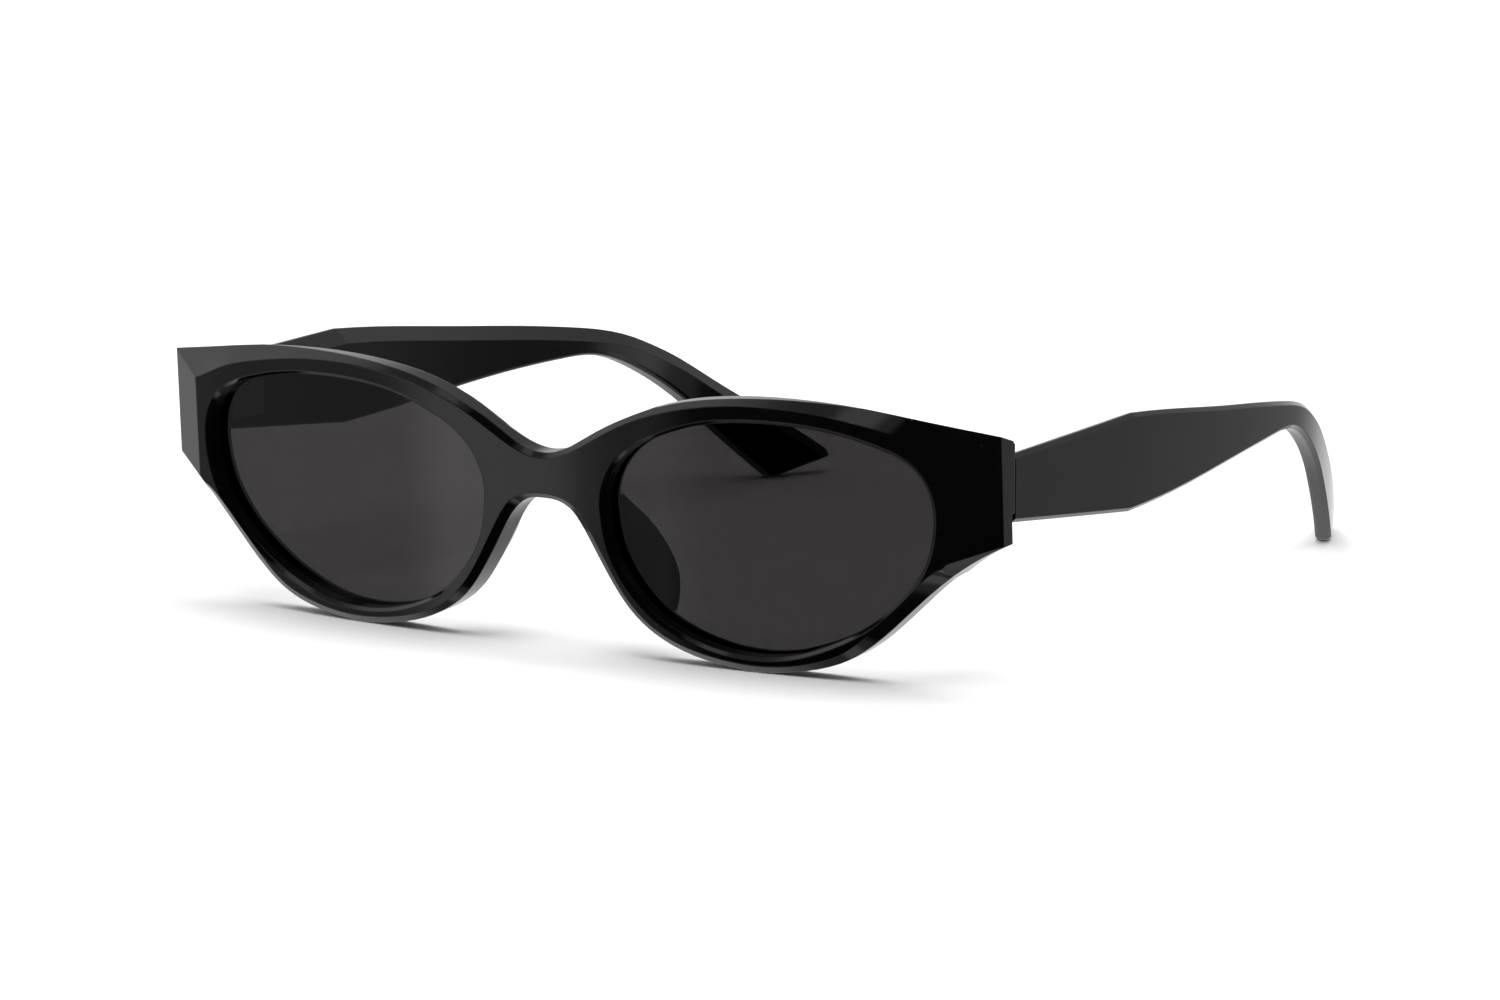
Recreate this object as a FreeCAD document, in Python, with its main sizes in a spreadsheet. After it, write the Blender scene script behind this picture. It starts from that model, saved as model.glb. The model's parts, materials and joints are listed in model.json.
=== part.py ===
import FreeCAD, Part
import math
import os

from FreeCAD import Vector, Rotation, Placement

# Cat eye sunglasses, standing open on the bottoms of the two rims and the ends of the two temples.
# Millimetres. X runs across the face (the wearer's left is +X), the front looks along -Y, +Z is up.
# The origin is on the standing surface, in the symmetry plane, midway between front and temple ends.
# Every piece is first drawn with Y = 0 at the front datum and is then moved by its Placement.

doc = FreeCAD.newDocument("cat_eye_sunglasses")
sheet = doc.addObject("Spreadsheet::Sheet", "sizes")

DIMENSIONS = [
    ("mid_depth", 73.7525, "distance of the origin behind the front datum"),
    ("lift", -0.254, "height of the front datum above the standing surface"),
    ("lean", 4.0, "forward lean of the front, degrees"),
    ("front_radius", 410.0, "radius of the curved front face"),
    ("front_depth", 4.8, "thickness of the rims from front to back"),
    ("half_width", 71.0, "half of the overall width"),
    ("ridge_at", 64.4, "where the front face turns into the end facet"),
    ("facet_angle", 35.0, "turn of the end facet, degrees"),
    ("end_back", 11.0, "upright rear face of the end piece behind the front datum"),
    ("shoulder_back", 12.1, "rear of the end piece above and below the temple"),
    ("flank_at", 63.6, "inner edge of the end piece from the symmetry plane"),
    ("rim_chamfer", 0.55, "bevel around each lens opening"),
    ("lens_recess", 2.4, "lens front behind the front face"),
    ("lens_thick", 1.6, "lens thickness"),
    ("groove_deep", 0.75, "depth of the lens groove in the rim"),
    ("lens_play", 0.05, "clearance of the lens in its groove"),
    ("temple_start_thick", 3.6, "temple thickness at the hinge"),
    ("temple_end_thick", 2.6, "temple thickness at its end"),
    ("temple_bevel", 0.6, "bevel along the outer temple edges"),
    ("temple_slope", 2.0, "height of the sloping top on the temple's inner side"),
    ("temple_round", 0.7, "rounding along the inner temple edges"),
    ("hinge_across", 67.4, "hinge axis from the symmetry plane"),
    ("hinge_behind", 12.5, "hinge axis behind the front datum"),
    ("hinge_level", 28.4, "middle of the hinge above the datum"),
    ("knuckle_radius", 1.5, "outside radius of the hinge knuckles"),
    ("turning_bore", 0.75, "bore radius of the temple knuckle, which turns on the screw"),
    ("screw_radius", 0.70, "hinge screw radius"),
    ("head_radius", 1.15, "hinge screw head radius"),
    ("head_depth", 0.9, "hinge screw head depth"),
    ("front_knuckle", 2.0, "height of each of the two front knuckles"),
    ("temple_knuckle", 2.3, "height of the temple knuckle"),
    ("washer_thick", 0.25, "nylon washer thickness"),
    ("washer_play", 0.05, "end play between washer and temple knuckle"),
    ("leaf_thick", 1.0, "thickness of the hinge leaves"),
    ("front_leaf_wide", 5.1, "width of the front leaf"),
    ("temple_leaf_end", 23.6, "rear end of the temple leaf, behind the datum"),
    ("notch_radius", 1.8, "clearance radius around the knuckles"),
    ("small_screw", 0.5, "shank radius of the leaf screws"),
    ("small_head", 0.95, "head radius of the leaf screws"),
    ("small_length", 3.1, "length of the leaf screws"),
    ("wire_radius", 0.6, "radius of the core wire in the temple"),
]
for row, (alias, value, note) in enumerate(DIMENSIONS, 1):
    sheet.set("A%d" % row, note)
    sheet.set("B%d" % row, str(value))
    sheet.setAlias("B%d" % row, alias)
doc.recompute()


def size(alias):
    return float(sheet.get(alias))


# ---------------------------------------------------------------- lines seen from the front (X, Z)
TOP_LINE = [(0, 29.0), (3, 29.5), (6, 31.0), (10, 33.3), (14, 35.2), (18, 36.8), (23, 38.2),
            (30, 39.3), (40, 39.8), (50, 39.4), (60, 38.3), (71.0, 36.2)]
LOWER_LINE = [(0, 22.3), (2.4, 22.1), (4.4, 21.0), (6.1, 19.1), (7.7, 16.5), (9.4, 13.6), (11.1, 10.9),
              (13.2, 8.0), (16, 5.3), (19.5, 3.2), (24, 1.5), (29, 0.5), (34, 0.1), (39, 0.4),
              (44, 1.3), (48.5, 2.9), (53, 5.9), (57.5, 10.0), (62, 14.2), (66.5, 17.7), (71.0, 20.3)]
OPENING = [(10.4, 21.5), (10.9, 25.2), (13.0, 28.8), (16.5, 31.6), (21.5, 33.8), (28, 35.6), (37, 36.3),
           (46, 35.8), (53.5, 34.2), (59, 31.8), (61.9, 27.6), (62.2, 22.5), (60.7, 17.3), (57, 12.3),
           (51.5, 7.9), (46, 5.0), (40, 3.0), (34, 2.4), (28, 3.0), (22, 4.9), (17.2, 7.8), (13.4, 12.0),
           (11.1, 16.8)]

# Bevel around the whole outline: at each X, its width on the front face and its depth.
TOP_BEVEL = [(0, 0.8, 0.7), (12, 0.8, 0.8), (25, 0.9, 1.0), (36, 1.0, 1.2), (46, 1.5, 1.6),
             (55, 2.3, 2.1), (60, 3.1, 2.5), (64.4, 4.2, 3.0), (71.2, 0.15, 0.1)]
LOWER_BEVEL = [(0, 0.8, 0.7), (3.6, 1.0, 0.8), (6.1, 1.2, 0.8), (9.4, 1.2, 0.8), (14, 1.1, 0.8),
               (22, 1.0, 0.8), (34, 1.0, 0.8), (44, 1.1, 0.9), (51, 1.4, 1.1), (57.5, 1.9, 1.4),
               (62, 1.9, 1.7), (64.4, 1.5, 1.8), (71.2, 0.15, 0.1)]

# Bevel along the rear of the top: at each X, where it starts behind the datum and how steep it falls.
REAR_BEVEL = [(0, 3.6, 30.0), (14, 3.8, 30.0), (28, 4.2, 28.0), (40, 4.6, 26.0), (50, 5.1, 24.0), (58, 5.7, 22.0),
              (64, 6.9, 21.0), (68, 8.3, 21.0), (71.4, 9.7, 21.0)]

# Temple from the side (Y, Z): straight to a corner near the hinge, then a curve down to the end.
TEMPLE_TOP = [(45.5, 34.8), (60, 33.4), (75, 31.6), (90, 29.9), (100, 28.6), (107, 27.5), (113, 26.0),
              (118, 24.0), (123, 21.5), (129, 17.7), (136, 13.2), (144, 8.0), (150.6, 3.2)]
TEMPLE_LOW = [(44.8, 20.6), (52, 20.9), (60, 21.4), (70, 22.2), (80, 23.0), (90, 23.6), (98, 23.9),
              (104, 23.8), (109.5, 22.5), (114, 20.5), (118.5, 17.9), (123, 14.7), (128.5, 9.9),
              (134, 5.05), (139.5, 0.165)]
# The temple's front end: its top and bottom, and how far behind the datum it starts.
TEMPLE_FRONT = (33.7, 24.0)
TEMPLE_START = 11.25

# Outer face of the temple from above (Y, X): nearly straight, then curving in towards the ear.
TEMPLE_PLAN = [(8, 71.0), (28, 70.9), (46, 70.5), (77, 68.3), (107.6, 63.3), (125, 58.2), (140, 52.0),
               (153, 45.4)]

# Nose pad: at each height, how far it stands out behind the rim and how wide it is on the rim.
PAD = [(22.8, 1.4, 6.8), (20.8, 3.4, 5.6), (18.4, 5.0, 4.2), (15.4, 6.2, 3.3), (12.0, 6.3, 3.0), (8.8, 4.7, 3.0),
       (6.4, 2.0, 3.0)]


def mirrored(points):
    left = [(-x, z) for x, z in reversed(points) if x > 0]
    return left + points


def spline(points, closed=False):
    curve = Part.BSplineCurve()
    curve.interpolate([Vector(x, 0, z) for x, z in points], PeriodicFlag=closed)
    return curve


def between(table, at):
    """Value of a table of (place, value) pairs at a place, on a smooth line through the pairs."""
    curve = spline(table)
    return point_on(curve, at)[0].z


def point_on(curve, x):
    """Point and direction of a line drawn from left to right, at a given X."""
    low = curve.FirstParameter
    high = curve.LastParameter
    for _ in range(60):
        mid = (low + high) / 2
        if curve.value(mid).x < x:
            low = mid
        else:
            high = mid
    return curve.value(low), curve.tangent(low)[0]


def front_face_depth(x):
    """Depth of the front face at X: the curved front, then the turned end facet."""
    radius = size("front_radius")
    ridge = size("ridge_at")
    reach = min(abs(x), ridge)
    depth = radius - math.sqrt(radius ** 2 - reach ** 2)
    return depth + max(abs(x) - ridge, 0) * math.tan(math.radians(size("facet_angle")))


def even_pieces(curve, number):
    """Edges that follow a curve one after the other, each over an equal share of its parameters."""
    first = curve.FirstParameter
    step = (curve.LastParameter - first) / number
    return [curve.toShape(first + index * step, first + (index + 1) * step) for index in range(number)]


def prism(wire, y_from, length):
    moved = wire.translated(Vector(0, y_from, 0))
    return Part.Face(moved).extrude(Vector(0, length, 0))


def outline_wire():
    top = spline(mirrored(TOP_LINE))
    low = spline(mirrored(LOWER_LINE))
    half = size("half_width")
    z_top = TOP_LINE[-1][1]
    z_low = LOWER_LINE[-1][1]
    right = Part.makeLine(Vector(half, 0, z_top), Vector(half, 0, z_low))
    left = Part.makeLine(Vector(-half, 0, z_top), Vector(-half, 0, z_low))
    edges = even_pieces(top, 4) + [right] + even_pieces(low, 4) + [left]
    return Part.Wire(Part.__sortEdges__(edges))


def opening_points(side, grow):
    """Points of a lens opening moved outwards by grow."""
    base = spline([(side * x, z) for x, z in OPENING], closed=True)
    points = []
    for x, z in OPENING:
        at = Vector(side * x, 0, z)
        along = base.tangent(base.parameter(at))[0]
        points.append(at + Vector(-along.z, 0, along.x) * side * grow)
    return points


def closed_halves(points):
    """Smooth closed line through the points, as two edges that meet at the same parameters."""
    curve = Part.BSplineCurve()
    curve.interpolate(points, PeriodicFlag=True, Parameters=[float(i) for i in range(len(points) + 1)])
    middle = len(points) // 2
    return [curve.toShape(0.0, float(middle)), curve.toShape(float(middle), float(len(points)))]


def rim_cutter(side, grow=0.0):
    """Solid through a lens opening, its walls square to the curved front."""
    radius = size("front_radius")
    loops = []
    for depth in (-4.0, 40.0):
        # on the straight line from the front face towards the middle of its curve, at this depth
        points = []
        for p in opening_points(side, grow):
            face = front_face_depth(p.x)
            share = (radius - depth) / (radius - face)
            points.append(Vector(p.x * share, depth, p.z))
        loops.append(closed_halves(points))
    faces = [Part.Face(Part.Wire(loop)) for loop in loops]
    for half in (0, 1):
        faces += Part.makeRuledSurface(loops[0][half], loops[1][half]).Faces
    cutter = Part.makeSolid(Part.makeShell(faces))
    if cutter.Volume < 0:
        cutter.reverse()
    return cutter


def band(depth_from, depth_to):
    """The space between two depths behind the curved front, as wide and high as the whole front."""
    radius = size("front_radius")
    outer = Part.makeCylinder(radius - depth_from, 60, Vector(0, radius, -8))
    inner = Part.makeCylinder(radius - depth_to, 60, Vector(0, radius, -8))
    block = Part.makeBox(170, 40, 60, Vector(-85, -5, -8))
    return outer.cut(inner).common(block)


# ---------------------------------------------------------------- front frame
def bevel_corners(curve, x, width, deep, up):
    """Three corners of the cutting wedge at one place along the outline."""
    limit = size("half_width") - 0.01
    at, along = point_on(curve, max(-limit, min(limit, x)))
    out = Vector(-along.z, 0, along.x) * up
    if abs(x) > limit:
        at = at + along * ((abs(x) - limit) * (1 if x > 0 else -1))
    inner = at - out * width
    inner.y = front_face_depth(inner.x)
    outer = Vector(at.x, front_face_depth(at.x) + deep, at.z)
    step = outer - inner
    away = Vector(at.x + out.x * 2.0, front_face_depth(at.x) - 2.5, at.z + out.z * 2.0)
    return inner - step * 0.6, outer + step * 0.6, away


def wedge(corners, pieces=1):
    """Solid whose three long sides run along smooth lines through the corners of its sections."""
    lines = []
    steps = [index / (len(corners) - 1.0) for index in range(len(corners))]
    for number in range(3):
        line = Part.BSplineCurve()
        line.interpolate([row[number] for row in corners], Parameters=steps)
        lines.append(even_pieces(line, pieces))
    sides = []
    for first, second in ((0, 1), (1, 2), (2, 0)):
        sides += [Part.makeRuledSurface(one, other) for one, other in zip(lines[first], lines[second])]
    ends = [Part.Face(Part.makePolygon(list(row) + [row[0]])) for row in (corners[0], corners[-1])]
    shell = Part.makeShell([face for side in sides for face in side.Faces] + ends)
    solid_wedge = Part.makeSolid(shell)
    if solid_wedge.Volume < 0:
        solid_wedge.reverse()
    return solid_wedge


def bevel_tools(line, table, up):
    curve = spline(mirrored(line))
    middle = [row for row in table if row[0] <= size("ridge_at")]
    across = [(-x, w, c) for x, w, c in reversed(middle) if x > 0] + middle
    tools = [wedge([bevel_corners(curve, x, w, c, up) for x, w, c in across], 4)]
    for side in (-1, 1):
        tools.append(wedge([bevel_corners(curve, side * x, w, c, up) for x, w, c in table[-2:]]))
    return tools


def rear_bevel():
    """Wedge that cuts the falling rear part of the top."""
    curve = spline(mirrored(TOP_LINE))
    limit = size("half_width") - 0.01
    rows = []
    for x, start, fall in [(-x, y, a) for x, y, a in reversed(REAR_BEVEL) if x > 0] + REAR_BEVEL:
        at, along = point_on(curve, max(-limit, min(limit, x)))
        if abs(x) > limit:
            at = at + along * ((abs(x) - limit) * (1 if x > 0 else -1))
        drop = math.tan(math.radians(fall))
        near = Vector(at.x, start - 1.0, at.z + drop)
        far = Vector(at.x, start + 14.0, at.z - 14.0 * drop)
        rows.append((near, far, Vector(at.x, start + 14.0, at.z + 4.0)))
    return wedge(rows)


def mirror_across(shape):
    return shape.mirror(Vector(0, 0, 0), Vector(1, 0, 0))


def upright(shape):
    """Lean a shape drawn for the standing frame back into the leaning front's own frame."""
    turned = shape.copy()
    turned.rotate(Vector(0, 0, 0), Vector(1, 0, 0), -size("lean"))
    return turned


def front_shape():
    radius = size("front_radius")
    ridge = size("ridge_at")
    flank = size("flank_at")
    body = prism(outline_wire(), -4, 26)
    body = body.common(Part.makeCylinder(radius, 60, Vector(0, radius, -8)))
    # rear of the rims, as curved as the front, with the end pieces left standing at both sides
    inner = flank - 1.0
    corners = [(-inner, 0), (inner, 0), (inner, 8.6), (flank, 11.2), (flank, 30),
               (-flank, 30), (-flank, 11.2), (-inner, 8.6), (-inner, 0)]
    hollow = Part.Face(Part.makePolygon([Vector(x, y, -8) for x, y in corners])).extrude(Vector(0, 0, 60))
    back = Part.makeCylinder(radius - size("front_depth"), 60, Vector(0, radius, -8))
    body = body.cut(back.common(hollow))
    # end facets, turned back from the ridges
    for side in (-1, 1):
        facet = Part.makeBox(30, 20, 60, Vector(0, -20, -8))
        facet.rotate(Vector(0, 0, 0), Vector(0, 0, 1), size("facet_angle"))
        facet.translate(Vector(ridge, front_face_depth(ridge), 0))
        body = body.cut(facet if side > 0 else mirror_across(facet))
    # upright rear faces of the end pieces where the temples meet them, set forward above and below
    body = body.cut(upright(Part.makeBox(170, 30, 80, Vector(-85, size("end_back"), -20))))
    step = size("shoulder_back")
    over = [(step, 60), (step, 36.0), (step + 1.2, 34.4), (30, 34.4), (30, 60), (step, 60)]
    under = [(step, -8), (step, 24.6), (30, 24.6), (30, -8), (step, -8)]
    for corners in (over, under):
        profile = Part.makePolygon([Vector(-85, y, z) for y, z in corners])
        body = body.cut(Part.Face(profile).extrude(Vector(170, 0, 0)))
    for tool in bevel_tools(TOP_LINE, TOP_BEVEL, 1) + bevel_tools(LOWER_LINE, LOWER_BEVEL, -1):
        body = body.cut(tool)
    body = body.cut(rear_bevel())
    for side in (-1, 1):
        body = body.cut(rim_cutter(side))
        body = body.cut(opening_bevel(side))
    groove = size("lens_recess") - size("lens_play")
    groove = band(groove, groove + size("lens_thick") + 2 * size("lens_play"))
    for side in (-1, 1):
        body = body.cut(groove.common(rim_cutter(side, size("groove_deep"))))
    return body


def opening_bevel(side):
    """Ring of three-cornered section that cuts the bevel around a lens opening."""
    deep = size("rim_chamfer")
    loops = []
    for grow, behind in ((-0.3, deep + 0.3), (deep + 0.8, -0.8), (-0.3, -0.8)):
        points = opening_points(side, grow)
        loops.append(closed_halves([Vector(p.x, front_face_depth(p.x) + behind, p.z) for p in points]))
    faces = []
    for half in (0, 1):
        for first, second in ((0, 1), (1, 2), (2, 0)):
            faces += Part.makeRuledSurface(loops[first][half], loops[second][half]).Faces
    ring = Part.makeSolid(Part.makeShell(faces))
    if ring.Volume < 0:
        ring.reverse()
    return ring


def lens_shape():
    lens = band(size("lens_recess"), size("lens_recess") + size("lens_thick"))
    grow = size("groove_deep") - size("lens_play")
    return lens.common(rim_cutter(1, grow))


def pad_section(level, stand, wide):
    """Closed section of the nose pad at one height: it leans away from the nose as it stands out."""
    nasal = [(z, x) for x, z in LOWER_LINE if 2.0 < x < 20.0]
    nasal.reverse()
    side = between(nasal, min(level, 21.4))
    start = size("front_depth") - 0.6
    stand = stand + 0.6
    corners = [(0.35, 0.0), (0.45 + 0.12 * stand, 0.5 * stand), (0.75 + 0.36 * stand, 0.93 * stand),
               (0.5 * wide + 0.45 * stand, stand), (0.8 * wide + 0.43 * stand, 0.9 * stand),
               (0.93 * wide + 0.25 * stand, 0.5 * stand), (wide, 0.0), (0.55 * wide, -0.2)]
    points = [Vector(side + x, start + y, level) for x, y in corners]
    curve = Part.BSplineCurve()
    curve.interpolate(points, PeriodicFlag=True, Parameters=[float(i) for i in range(len(points) + 1)])
    return Part.Wire([curve.toShape()])


def pad_shape():
    """Nose pad, ending on the curved rear face of the rim."""
    radius = size("front_radius")
    body = Part.makeLoft([pad_section(level, stand, wide) for level, stand, wide in PAD], True, False)
    return body.common(Part.makeCylinder(radius - size("front_depth"), 60, Vector(0, radius, -8)))


# ---------------------------------------------------------------- temples
def temple_thickness(y):
    start = size("temple_start_thick")
    return start + (size("temple_end_thick") - start) * max(0.0, min(1.0, (y - 46) / 95.0))


def plan_curves():
    outer = Part.BSplineCurve()
    outer.interpolate([Vector(x, y, 0) for y, x in TEMPLE_PLAN])
    inner_points = []
    for y, x in TEMPLE_PLAN:
        along = outer.tangent(outer.parameter(Vector(x, y, 0)))[0]
        across = Vector(-along.y, along.x, 0)
        inner_points.append(Vector(x, y, 0) + across * temple_thickness(y))
    inner = Part.BSplineCurve()
    inner.interpolate(inner_points)
    return outer, inner


def temple_blank():
    outer, inner = plan_curves()
    ends = [Part.makeLine(outer.StartPoint, inner.StartPoint), Part.makeLine(outer.EndPoint, inner.EndPoint)]
    plan = Part.Wire(Part.__sortEdges__([outer.toShape(), inner.toShape()] + ends))
    plan = Part.Face(plan).extrude(Vector(0, 0, 60))
    plan.translate(Vector(0, 0, -10))
    start = TEMPLE_START
    top = Part.BSplineCurve()
    top.interpolate([Vector(0, y, z) for y, z in TEMPLE_TOP])
    low = Part.BSplineCurve()
    low.interpolate([Vector(0, y, z) for y, z in TEMPLE_LOW])
    high = Vector(0, start, TEMPLE_FRONT[0])
    foot = Vector(0, start, TEMPLE_FRONT[1])
    side = [Part.makeLine(high, top.StartPoint), top.toShape(), Part.makeLine(top.EndPoint, low.EndPoint),
            low.toShape(), Part.makeLine(low.StartPoint, foot), Part.makeLine(foot, high)]
    side = Part.Face(Part.Wire(Part.__sortEdges__(side))).extrude(Vector(90, 0, 0))
    return side.common(plan)


def lies_on(edge, curve, gap=0.05):
    """True for an edge that runs straight above or below a curve drawn from above."""
    shape = curve.toShape()
    for step in (0.1, 0.5, 0.9):
        at = edge.valueAt(edge.FirstParameter + step * (edge.LastParameter - edge.FirstParameter))
        if Part.Vertex(at.x, at.y, 0).distToShape(shape)[0] > gap:
            return False
    return True


def slope_row(outer, inner, y, z, along):
    """Section of the wedge that slopes the temple's top down towards its inner face."""
    up = Vector(0, -along.y, along.x)
    high = Vector(at_depth(outer, y) - 1.0, y, z)
    foot = Vector(0, y, z) - up * size("temple_slope")
    foot.x = at_depth(inner, foot.y)
    step = foot - high
    return high - step * 0.5, foot + step * 0.6, foot + step * 0.6 + up * 6.0


def slope_tools(outer, inner):
    """Wedges along the straight part and along the curved part of the temple's top."""
    first_y, first_z = TEMPLE_TOP[0]
    front = Vector(TEMPLE_START, TEMPLE_FRONT[0], 0)
    along = (Vector(first_y, first_z, 0) - front).normalize()
    before = slope_row(outer, inner, front.x - along.x * 2.0, front.y - along.y * 2.0, along)
    top = Part.BSplineCurve()
    top.interpolate([Vector(y, z, 0) for y, z in TEMPLE_TOP])
    middle = (along + top.tangent(top.FirstParameter)[0]).normalize()
    corner = slope_row(outer, inner, first_y, first_z, middle)
    curved = [corner]
    for y in [52.0, 60.0, 75.0, 90.0, 100.0, 107.0, 113.0, 118.0, 124.0, 131.0, 138.0, 145.0, 150.5]:
        at, way = point_on(top, y)
        curved.append(slope_row(outer, inner, at.x, at.y, way))
    last = curved[-1]
    further = (last[0] - curved[-2][0]).normalize() * 5.0
    curved.append(tuple(point + further for point in last))
    return [wedge([before, corner]), wedge(curved)]


def temple_shape():
    outer, inner = plan_curves()
    body = temple_blank()
    end_edges = [edge for edge in body.Edges if edge.Length < 4 and edge.BoundBox.ZMax < 4]
    body = body.makeFillet(0.8, end_edges)
    along = [edge for edge in body.Edges if lies_on(edge, outer) and edge.BoundBox.YMax > 14]
    body = body.makeChamfer(size("temple_bevel"), along)
    along = [edge for edge in body.Edges if lies_on(edge, inner) and edge.BoundBox.YMax > 14]
    body = body.makeFillet(size("temple_round"), along)
    for tool in slope_tools(outer, inner):
        body = body.cut(tool)
    return body


def wire_path():
    """Middle line of the temple, as straight runs joined by tangent arcs."""
    outer, inner = plan_curves()
    top = Part.BSplineCurve()
    top.interpolate([Vector(y, z, 0) for y, z in [(13, TEMPLE_FRONT[0])] + TEMPLE_TOP])
    low = Part.BSplineCurve()
    low.interpolate([Vector(y, z, 0) for y, z in [(13, TEMPLE_FRONT[1])] + TEMPLE_LOW])
    points = []
    for y in (29.0, 52.0, 80.0, 100.0, 113.0, 122.0, 132.0):
        level = (point_on(top, y)[0].y + point_on(low, y - 2.0 if y > 110 else y)[0].y) / 2
        across = (at_depth(outer, y) + at_depth(inner, y)) / 2
        points.append(Vector(across, y, level))
    edges = []
    start = points[0]
    for before, corner, after in zip(points, points[1:], points[2:]):
        back = (before - corner).normalize()
        ahead = (after - corner).normalize()
        cut = 0.3 * min((before - corner).Length, (after - corner).Length)
        first = corner + back * cut
        last = corner + ahead * cut
        bow = (back + ahead).normalize()
        half = back.getAngle(ahead) / 2
        radius = cut * math.tan(half)
        middle = corner + bow * (radius / math.sin(half) - radius)
        edges.append(Part.makeLine(start, first))
        edges.append(Part.Arc(first, middle, last).toShape())
        start = last
    edges.append(Part.makeLine(start, points[-1]))
    return Part.Wire(edges)


def at_depth(curve, y):
    low = curve.FirstParameter
    high = curve.LastParameter
    for _ in range(60):
        mid = (low + high) / 2
        if curve.value(mid).y < y:
            low = mid
        else:
            high = mid
    return curve.value(low).x


def core_wire_shape():
    path = wire_path()
    start = path.Vertexes[0].Point
    along = path.Edges[0].tangentAt(path.Edges[0].FirstParameter)
    ring = Part.Wire([Part.makeCircle(size("wire_radius"), start, along)])
    return path.makePipeShell([ring], True, True)


# ---------------------------------------------------------------- pieces as objects of the document
def free_form(name, shape, leaning=False):
    """A piece drawn with Y = 0 at the front datum, moved into the standing frame."""
    item = doc.addObject("Part::Feature", name)
    item.Shape = shape
    turn = Rotation(Vector(1, 0, 0), size("lean") if leaning else 0.0)
    item.Placement = Placement(Vector(0, -size("mid_depth"), size("lift")), turn)
    return item


def solid(kind, name, place, turn=None, **sizes):
    """A primitive whose sizes and place are bound to the sheet."""
    item = doc.addObject("Part::" + kind, name)
    for prop, expression in sizes.items():
        item.setExpression(prop, expression)
    if turn:
        item.Placement = Placement(Vector(0, 0, 0), turn)
    for axis, expression in zip("xyz", place):
        item.setExpression("Placement.Base." + axis, expression)
    return item


def joined(name, pieces):
    item = doc.addObject("Part::MultiFuse", name)
    item.Shapes = pieces
    return item


def less(name, base, tools):
    tool = tools[0] if len(tools) == 1 else joined(name + "_tool", tools)
    item = doc.addObject("Part::Cut", name)
    item.Base = base
    item.Tool = tool
    return item


def group(name, pieces):
    item = doc.addObject("Part::Compound", name)
    item.Links = pieces
    return item


def opposite(name, source):
    """The same piece on the other side of the face."""
    item = doc.addObject("Part::Mirroring", name)
    item.Source = source
    item.Normal = Vector(1, 0, 0)
    return item


AXIS_X = "sizes.hinge_across"
AXIS_Y = "sizes.hinge_behind - sizes.mid_depth"
MIDDLE = "(sizes.hinge_level + sizes.lift)"
HALF_TEMPLE = "sizes.temple_knuckle / 2"
HALF_GAP = "(sizes.temple_knuckle / 2 + sizes.washer_play + sizes.washer_thick)"
HALF_HINGE = "(sizes.temple_knuckle / 2 + sizes.washer_play + sizes.washer_thick + sizes.front_knuckle)"
ACROSS = Rotation(Vector(0, 1, 0), 90)
FORWARD = Rotation(Vector(1, 0, 0), 90)

# hinge screw: shank, countersunk head and driving slot
screw_shank = solid("Cylinder", "screw_shank", (AXIS_X, AXIS_Y, MIDDLE + " - " + HALF_HINGE),
                    Radius="sizes.screw_radius", Height="2 * " + HALF_HINGE)
screw_head = solid("Cone", "screw_head", (AXIS_X, AXIS_Y, MIDDLE + " + " + HALF_HINGE + " - sizes.head_depth"),
                   Radius1="sizes.screw_radius", Radius2="sizes.head_radius", Height="sizes.head_depth")
screw_plain = joined("screw_plain", [screw_shank, screw_head])
screw_slot = solid("Box", "screw_slot", (AXIS_X + " - 2", AXIS_Y + " - 0.15", MIDDLE + " + " + HALF_HINGE + " - 0.3"),
                   Length="4", Width="0.3", Height="1")
hinge_screw_left = less("hinge_screw_left", screw_plain, [screw_slot])


# leaf screws: short, countersunk; those of the temple run outwards, those of the front forwards
def leaf_screw(name, x, y, z, turn):
    shank = solid("Cylinder", name + "_shank", (x, y, z), turn,
                  Radius="sizes.small_screw", Height="sizes.small_length")
    head = solid("Cone", name + "_head", (x, y, z), turn,
                 Radius1="sizes.small_head", Radius2="sizes.small_screw", Height="0.5")
    plain = joined(name + "_plain", [shank, head])
    if turn is ACROSS:
        slot = solid("Box", name + "_slot", (x + " - 1", y + " - 0.11", z + " - 1.5"),
                     Length="1.2", Width="0.22", Height="3")
    else:
        slot = solid("Box", name + "_slot", (x + " - 0.11", y + " - 0.2", z + " - 1.5"),
                     Length="0.22", Width="1.2", Height="3")
    return plain, less(name, plain, [slot])


END_FACE = "(sizes.end_back - sizes.mid_depth)"
FRONT_SCREW_X = "(sizes.hinge_across - 2.55)"
TEMPLE_LEAF_X = "(sizes.hinge_across - 0.4)"
low_plain, low_screw = leaf_screw("low_screw", FRONT_SCREW_X, END_FACE, MIDDLE + " - 1.9", FORWARD)
high_plain, high_screw = leaf_screw("high_screw", FRONT_SCREW_X, END_FACE, MIDDLE + " + 1.9", FORWARD)
near_plain, near_screw = leaf_screw("near_screw", TEMPLE_LEAF_X, "17.0 - sizes.mid_depth", MIDDLE, ACROSS)
far_plain, far_screw = leaf_screw("far_screw", TEMPLE_LEAF_X, "21.4 - sizes.mid_depth", MIDDLE, ACROSS)
front_leaf_screws_left = group("front_leaf_screws_left", [low_screw, high_screw])
temple_leaf_screws_left = group("temple_leaf_screws_left", [near_screw, far_screw])

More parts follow.
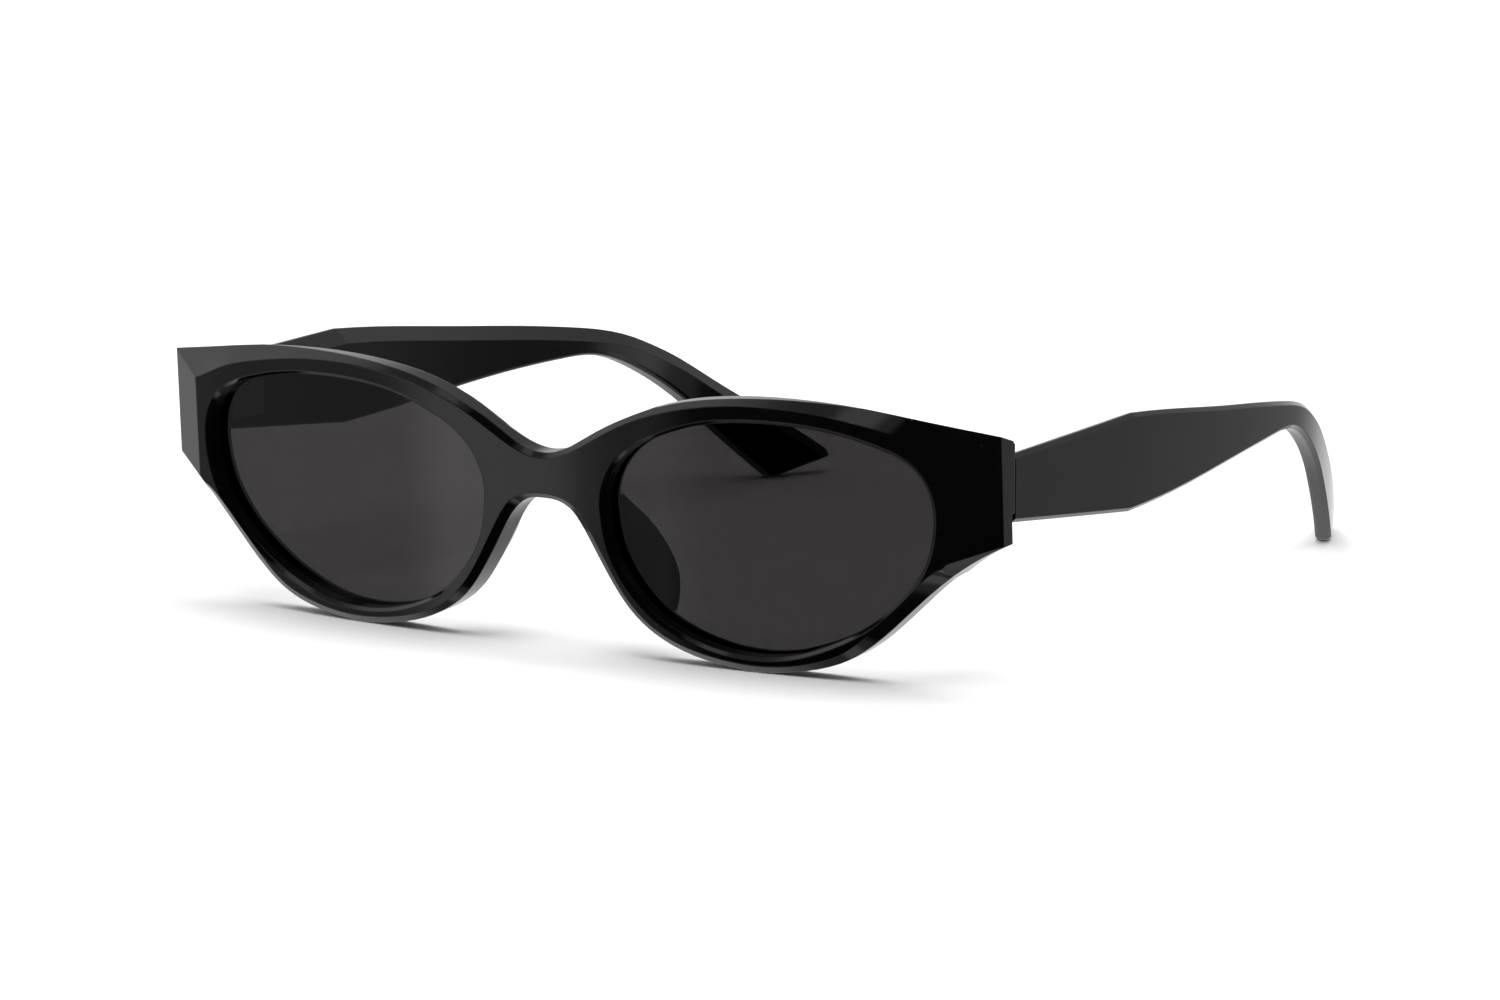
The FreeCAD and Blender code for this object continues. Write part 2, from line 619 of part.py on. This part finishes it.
# front leaf: a plate let into the rear face of the end piece, with two knuckles behind it
front_parts = [solid("Box", "front_plate",
                     (AXIS_X + " + sizes.knuckle_radius - sizes.front_leaf_wide", END_FACE + " - sizes.leaf_thick",
                      MIDDLE + " - " + HALF_HINGE),
                     Length="sizes.front_leaf_wide", Width="sizes.leaf_thick", Height="2 * " + HALF_HINGE)]
for place, base in (("low", " - " + HALF_HINGE), ("high", " + " + HALF_GAP)):
    front_parts.append(solid("Cylinder", "front_knuckle_" + place, (AXIS_X, AXIS_Y, MIDDLE + base),
                             Radius="sizes.knuckle_radius", Height="sizes.front_knuckle"))
    front_parts.append(solid("Box", "front_web_" + place,
                             (AXIS_X + " - sizes.knuckle_radius * 0.8", END_FACE + " - 0.1", MIDDLE + base),
                             Length="1.6 * sizes.knuckle_radius", Width="1.0", Height="sizes.front_knuckle"))
front_leaf_solid = joined("front_leaf_solid", front_parts)
upper_bore = solid("Cylinder", "upper_bore", (AXIS_X, AXIS_Y, MIDDLE),
                   Radius="sizes.turning_bore", Height="2 * sizes.front_knuckle + 1")
front_leaf_left = less("front_leaf_left", front_leaf_solid, [screw_plain, upper_bore, low_plain, high_plain])

# temple leaf: a plate let into the temple's inner face, with one knuckle in the middle
plate = solid("Box", "temple_plate", (TEMPLE_LEAF_X, "sizes.hinge_behind + 2.0 - sizes.mid_depth",
                                      MIDDLE + " - " + HALF_HINGE),
              Length="sizes.leaf_thick", Width="sizes.temple_leaf_end - sizes.hinge_behind - 2.0",
              Height="2 * " + HALF_HINGE)
web = solid("Box", "temple_web", (TEMPLE_LEAF_X, AXIS_Y, MIDDLE + " - " + HALF_TEMPLE),
            Length="sizes.leaf_thick", Width="2.1", Height="sizes.temple_knuckle")
knuckle = solid("Cylinder", "temple_knuckle", (AXIS_X, AXIS_Y, MIDDLE + " - " + HALF_TEMPLE),
                Radius="sizes.knuckle_radius", Height="sizes.temple_knuckle")
temple_leaf_solid = joined("temple_leaf_solid", [plate, web, knuckle])
turning_bore = solid("Cylinder", "turning_bore", (AXIS_X, AXIS_Y, MIDDLE + " - 2"),
                     Radius="sizes.turning_bore", Height="4")
temple_leaf_left = less("temple_leaf_left", temple_leaf_solid, [turning_bore, near_plain, far_plain])


# nylon washers above and below the temple knuckle
def washer(name, base):
    ring = solid("Cylinder", name + "_disc", (AXIS_X, AXIS_Y, MIDDLE + base),
                 Radius="sizes.knuckle_radius - 0.05", Height="sizes.washer_thick")
    hole = solid("Cylinder", name + "_hole", (AXIS_X, AXIS_Y, MIDDLE + base + " - 1"),
                 Radius="sizes.turning_bore", Height="3")
    return less(name, ring, [hole])


hinge_washers_left = group("hinge_washers_left", [washer("washer_low", " - " + HALF_GAP),
                                                  washer("washer_high", " + " + HALF_TEMPLE + " + sizes.washer_play")])

# front frame with the pockets of the hinge blades and the holes of their screws
front_body = free_form("front_body", front_shape(), leaning=True)
fitted = [front_leaf_solid, low_plain, high_plain]
fitted += [opposite("other_" + tool.Name, tool) for tool in fitted]
front_frame = less("front_frame", front_body, fitted)
lens_left = free_form("lens_left", lens_shape(), leaning=True)
nose_pad_left = free_form("nose_pad_left", pad_shape(), leaning=True)

# temple with its notch around the knuckles, the pocket of its leaf and the channel of its core wire
temple_body = free_form("temple_body", temple_shape())
core_wire_left = free_form("core_wire_left", core_wire_shape())
notch = solid("Cylinder", "knuckle_notch", (AXIS_X, AXIS_Y, MIDDLE + " - " + HALF_HINGE + " - 0.3"),
              Radius="sizes.notch_radius", Height="2 * " + HALF_HINGE + " + 0.6")
temple_left = less("temple_left", temple_body, [notch, temple_leaf_solid, near_plain, far_plain, core_wire_left])

SUBPARTS = {"front_frame": front_frame}
for piece in (lens_left, nose_pad_left, temple_left, front_leaf_left, temple_leaf_left, hinge_screw_left,
              hinge_washers_left, front_leaf_screws_left, temple_leaf_screws_left, core_wire_left):
    other = piece.Name.replace("_left", "_right")
    SUBPARTS[piece.Name] = piece
    SUBPARTS[other] = opposite(other, piece)
for label, piece in SUBPARTS.items():
    piece.Label = label
doc.recompute()

for item in doc.Objects:
    if "Invalid" in item.State or "Error" in item.State:
        raise RuntimeError("object failed: " + item.Name)
for label, piece in SUBPARTS.items():
    if piece.Shape.isNull() or not piece.Shape.isValid() or not piece.Shape.Solids:
        raise RuntimeError("bad shape: " + label)

os.makedirs("parts", exist_ok=True)
for label, piece in SUBPARTS.items():
    piece.Shape.exportStep("parts/%s.step" % label)
    box = piece.Shape.optimalBoundingBox()
    print("%-26s solids %d  volume %9.3f  x %8.3f %8.3f  y %8.3f %8.3f  z %7.3f %7.3f" % (
        label, len(piece.Shape.Solids), piece.Shape.Volume, box.XMin, box.XMax, box.YMin, box.YMax,
        box.ZMin, box.ZMax))
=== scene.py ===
import json
import math

import bpy
from mathutils import Matrix, Vector

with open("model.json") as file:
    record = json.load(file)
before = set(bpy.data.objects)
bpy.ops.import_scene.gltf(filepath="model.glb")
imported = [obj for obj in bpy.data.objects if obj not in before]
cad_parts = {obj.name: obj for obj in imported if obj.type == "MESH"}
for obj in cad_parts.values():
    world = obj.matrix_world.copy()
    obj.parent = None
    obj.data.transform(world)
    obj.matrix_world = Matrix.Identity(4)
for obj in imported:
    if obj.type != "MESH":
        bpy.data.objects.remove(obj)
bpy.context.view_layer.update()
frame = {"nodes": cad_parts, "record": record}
nodes = frame["nodes"]


# ------------------------------------------------------------------ node helpers
class Graph:
    """Short way to write a node material: every call adds one node and returns its main output."""

    def __init__(self, name):
        self.material = bpy.data.materials.new(name)
        self.material.use_nodes = True
        self.tree = self.material.node_tree
        self.tree.nodes.clear()
        self.out = self.tree.nodes.new("ShaderNodeOutputMaterial")

    def node(self, kind, **settings):
        item = self.tree.nodes.new("ShaderNode" + kind)
        for name, value in settings.items():
            setattr(item, name, value)
        return item

    def put(self, socket, value):
        if isinstance(value, bpy.types.NodeSocket):
            self.tree.links.new(value, socket)
        else:
            socket.default_value = value

    def place(self):
        return self.node("TexCoord").outputs["Object"]

    def noise(self, scale, detail=2.0, rough=0.5):
        item = self.node("TexNoise")
        self.put(item.inputs["Vector"], self.place())
        self.put(item.inputs["Scale"], scale)
        self.put(item.inputs["Detail"], detail)
        self.put(item.inputs["Roughness"], rough)
        return item.outputs["Fac"]

    def spots(self, scale, size):
        """1 on small round spots scattered over the surface, 0 elsewhere."""
        item = self.node("TexVoronoi")
        self.put(item.inputs["Vector"], self.place())
        self.put(item.inputs["Scale"], scale)
        return self.spread(item.outputs["Distance"], size, size * 0.6, 0.0, 1.0)

    def spread(self, value, low, high, to_low, to_high):
        item = self.node("MapRange", clamp=True)
        self.put(item.inputs["Value"], value)
        self.put(item.inputs["From Min"], low)
        self.put(item.inputs["From Max"], high)
        self.put(item.inputs["To Min"], to_low)
        self.put(item.inputs["To Max"], to_high)
        return item.outputs["Result"]

    def math(self, operation, first, second=0.0):
        item = self.node("Math", operation=operation)
        self.put(item.inputs[0], first)
        self.put(item.inputs[1], second)
        return item.outputs["Value"]

    def mix(self, factor, first, second):
        item = self.node("Mix", data_type="RGBA")
        self.put(item.inputs["Factor"], factor)
        self.put(item.inputs["A"], first)
        self.put(item.inputs["B"], second)
        return item.outputs["Result"]

    def bump(self, height, strength, distance, under=None):
        item = self.node("Bump")
        self.put(item.inputs["Height"], height)
        self.put(item.inputs["Strength"], strength)
        self.put(item.inputs["Distance"], distance)
        if under is not None:
            self.put(item.inputs["Normal"], under)
        return item.outputs["Normal"]

    def principled(self, **sockets):
        item = self.node("BsdfPrincipled")
        for name, value in sockets.items():
            self.put(item.inputs[name.replace("_", " ")], value)
        return item.outputs["BSDF"]

    def finish(self, shader):
        self.put(self.out.inputs["Surface"], shader)
        return self.material


# ------------------------------------------------------------------ materials
def black_plastic(name, base, dusty):
    """Polished moulded plastic: a faint flow pattern, polishing marks and a little dust."""
    g = Graph(name)
    flow = g.noise(90.0, 3.0, 0.55)
    fine = g.noise(1400.0, 2.0, 0.5)
    rough = g.math("ADD", g.spread(flow, 0.3, 0.7, 0.035, 0.075), g.spread(fine, 0.45, 0.7, 0.0, 0.02))
    dust = g.math("MULTIPLY", g.spots(420.0, 0.075), g.spread(g.noise(60.0, 1.0), 0.56, 0.62, 0.0, dusty))
    low = (base * 0.8, base * 0.8, base * 0.85, 1.0)
    high = (base * 1.25, base * 1.25, base * 1.3, 1.0)
    colour = g.mix(g.spread(flow, 0.35, 0.65, 0.0, 1.0), low, high)
    colour = g.mix(dust, colour, (0.22, 0.22, 0.22, 1.0))
    edge = g.node("Bevel", samples=6)
    g.put(edge.inputs["Radius"], 0.00025)
    normal = g.bump(flow, 0.05, 0.0001, edge.outputs["Normal"])
    return g.finish(g.principled(Base_Color=colour, Roughness=rough, IOR=1.49, Normal=normal))


def tinted_lens(name):
    """Dark see-through polycarbonate: tinted on its way through, and as glossy inside as outside."""
    g = Graph(name)
    cloud = g.noise(35.0, 2.0, 0.5)
    deep = g.mix(g.spread(cloud, 0.3, 0.7, 0.0, 1.0),
                 (0.178, 0.170, 0.171, 1.0), (0.184, 0.176, 0.177, 1.0))
    through = g.node("BsdfTransparent")
    g.put(through.inputs["Color"], deep)
    shine = g.node("BsdfGlossy")
    g.put(shine.inputs["Roughness"], g.spread(g.noise(900.0, 2.0), 0.4, 0.7, 0.01, 0.03))
    fresnel = g.node("Fresnel")
    inside = g.node("NewGeometry").outputs["Backfacing"]
    g.put(fresnel.inputs["IOR"], g.spread(inside, 0.0, 1.0, 1.5, 1 / 1.5))
    both = g.node("MixShader")
    g.put(both.inputs["Fac"], fresnel.outputs["Fac"])
    g.put(both.inputs[1], through.outputs["BSDF"])
    g.put(both.inputs[2], shine.outputs["BSDF"])
    return g.finish(both.outputs["Shader"])


def metal(name, colour, rough, scale):
    """Drawn and tumbled metal: fine grain in the roughness and the surface."""
    g = Graph(name)
    grain = g.noise(scale, 3.0, 0.6)
    darker = tuple(0.85 * c for c in colour) + (1.0,)
    tone = g.mix(g.spread(grain, 0.3, 0.7, 0.0, 1.0), darker, colour + (1.0,))
    return g.finish(g.principled(Base_Color=tone, Metallic=1.0,
                                 Roughness=g.spread(grain, 0.3, 0.7, rough, rough + 0.12),
                                 Normal=g.bump(grain, 0.15, 0.00003)))


def nylon(name):
    """Natural nylon: slightly cloudy and satin."""
    g = Graph(name)
    grain = g.noise(1500.0, 2.0, 0.5)
    tone = g.mix(grain, (0.55, 0.54, 0.50, 1.0), (0.66, 0.65, 0.61, 1.0))
    return g.finish(g.principled(Base_Color=tone, Roughness=g.spread(grain, 0.3, 0.7, 0.4, 0.55)))


looks = {
    "front_plastic": black_plastic("front_plastic", 0.0022, 0.10),
    "temple_plastic": black_plastic("temple_plastic", 0.0030, 0.35),
    "lens_tint": tinted_lens("lens_tint"),
    "hinge_metal": metal("hinge_metal", (0.62, 0.61, 0.58), 0.28, 1800.0),
    "screw_metal": metal("screw_metal", (0.70, 0.70, 0.69), 0.16, 1200.0),
    "nylon": nylon("nylon"),
    "wire_metal": metal("wire_metal", (0.60, 0.59, 0.56), 0.30, 1500.0),
}
for entry in frame["record"]["subparts"]:
    mesh = nodes[entry["node"]].data
    mesh.materials.clear()
    mesh.materials.append(looks[entry["material_slot"]])

# ------------------------------------------------------------------ floor and light
paper = Graph("white_paper")
tooth = paper.noise(700.0, 3.0, 0.6)
paper.finish(paper.principled(Base_Color=paper.mix(tooth, (0.93, 0.93, 0.93, 1.0), (0.95, 0.95, 0.95, 1.0)),
                              Roughness=0.9, Normal=paper.bump(tooth, 0.02, 0.00002)))
FLOOR_HALF = 6.0
corners = [(x * FLOOR_HALF, y * FLOOR_HALF, 0.0) for x, y in ((-1, -1), (1, -1), (1, 1), (-1, 1))]
floor_mesh = bpy.data.meshes.new("floor")
floor_mesh.from_pydata(corners, [], [(0, 1, 2, 3)])
floor_mesh.materials.append(paper.material)
floor = bpy.data.objects.new("floor", floor_mesh)
bpy.context.scene.collection.objects.link(floor)
floor.visible_glossy = False

# A wide soft panel overhead lights the floor; the gloss is lit by the studio around it.
panel = bpy.data.objects.new("panel", bpy.data.lights.new("panel", "AREA"))
panel.data.size = 3.0
panel.data.energy = 90.0
panel.location = (0.0, 0.0, 2.5)
panel.visible_glossy = False
bpy.context.scene.collection.objects.link(panel)

# A white studio seen only in the gloss: black in front and to the right, with a lit strip on the left
# of it, grey beyond the strip and behind on the right, and white elsewhere.
CAMERA_AT = Vector((0.62827, -1.00986, 0.22067))
world = bpy.data.worlds.new("studio")
bpy.context.scene.world = world
world.use_nodes = True
tree = world.node_tree
tree.nodes.clear()
where = tree.nodes.new("ShaderNodeTexCoord")


def towards(azimuth, elevation=0.0):
    """Cosine of the angle between a direction and one given as degrees from -Y towards +X, and up."""
    turn = math.radians(azimuth)
    rise = math.radians(elevation)
    dot = tree.nodes.new("ShaderNodeVectorMath")
    dot.operation = "DOT_PRODUCT"
    tree.links.new(where.outputs["Generated"], dot.inputs[0])
    flat = math.cos(rise)
    dot.inputs[1].default_value = (math.sin(turn) * flat, -math.cos(turn) * flat, math.sin(rise))
    return dot.outputs["Value"]


def step(value, low, high, to_low, to_high):
    """Smooth change from one strength to another as a value goes from low to high."""
    ramp = tree.nodes.new("ShaderNodeMapRange")
    ramp.interpolation_type = "SMOOTHSTEP"
    tree.links.new(value, ramp.inputs["Value"])
    for name, number in (("From Min", low), ("From Max", high), ("To Min", to_low), ("To Max", to_high)):
        ramp.inputs[name].default_value = number
    return ramp.outputs["Result"]


def combine(operation, first, second):
    item = tree.nodes.new("ShaderNodeMath")
    item.operation = operation
    tree.links.new(first, item.inputs[0])
    tree.links.new(second, item.inputs[1])
    return item.outputs["Value"]


front_side = towards(40.0)
grey = step(front_side, 0.34, 0.39, 0.36, 0.0)
white = step(front_side, -0.30, -0.05, 0.84, 0.0)
strip = combine("MULTIPLY", step(front_side, 0.25, 0.31, 0.75, 0.0), step(front_side, 0.10, 0.16, 0.0, 1.0))
strength = combine("ADD", combine("ADD", grey, white), strip)
# Dimmer patches of the studio: azimuth and elevation, where each starts and is full, and its share.
DIMMER = [(152.0, -10.0, 0.78, 0.92, 0.34), (-120.0, -10.0, 0.80, 0.95, 0.60), (188.0, 33.0, 0.88, 0.96, 0.40)]
for azimuth, elevation, start, full, share in DIMMER:
    strength = combine("MULTIPLY", strength, step(towards(azimuth, elevation), start, full, 1.0, share))
sky = tree.nodes.new("ShaderNodeBackground")
tree.links.new(strength, sky.inputs["Strength"])
sky_out = tree.nodes.new("ShaderNodeOutputWorld")
tree.links.new(sky.outputs["Background"], sky_out.inputs["Surface"])

# ------------------------------------------------------------------ camera
# The camera looks down at the glasses from the wearer's left, with a long lens and a slight roll.
look = Vector((-0.5276, 0.8315, -0.1738)).normalized()
right = look.cross(Vector((0, 0, 1))).normalized()
up = right.cross(look)
roll = math.radians(0.305)
right, up = right * math.cos(roll) + up * math.sin(roll), up * math.cos(roll) - right * math.sin(roll)
camera = bpy.data.objects.new("camera", bpy.data.cameras.new("camera"))
bpy.context.scene.collection.objects.link(camera)
camera.matrix_world = Matrix.Translation(CAMERA_AT) @ Matrix((right, up, -look)).transposed().to_4x4()
camera.data.lens = 192.0
camera.data.sensor_width = 36.0
camera.data.clip_start = 0.05
camera.data.clip_end = 50.0
bpy.context.scene.camera = camera
bpy.context.scene.view_settings.view_transform = "Standard"
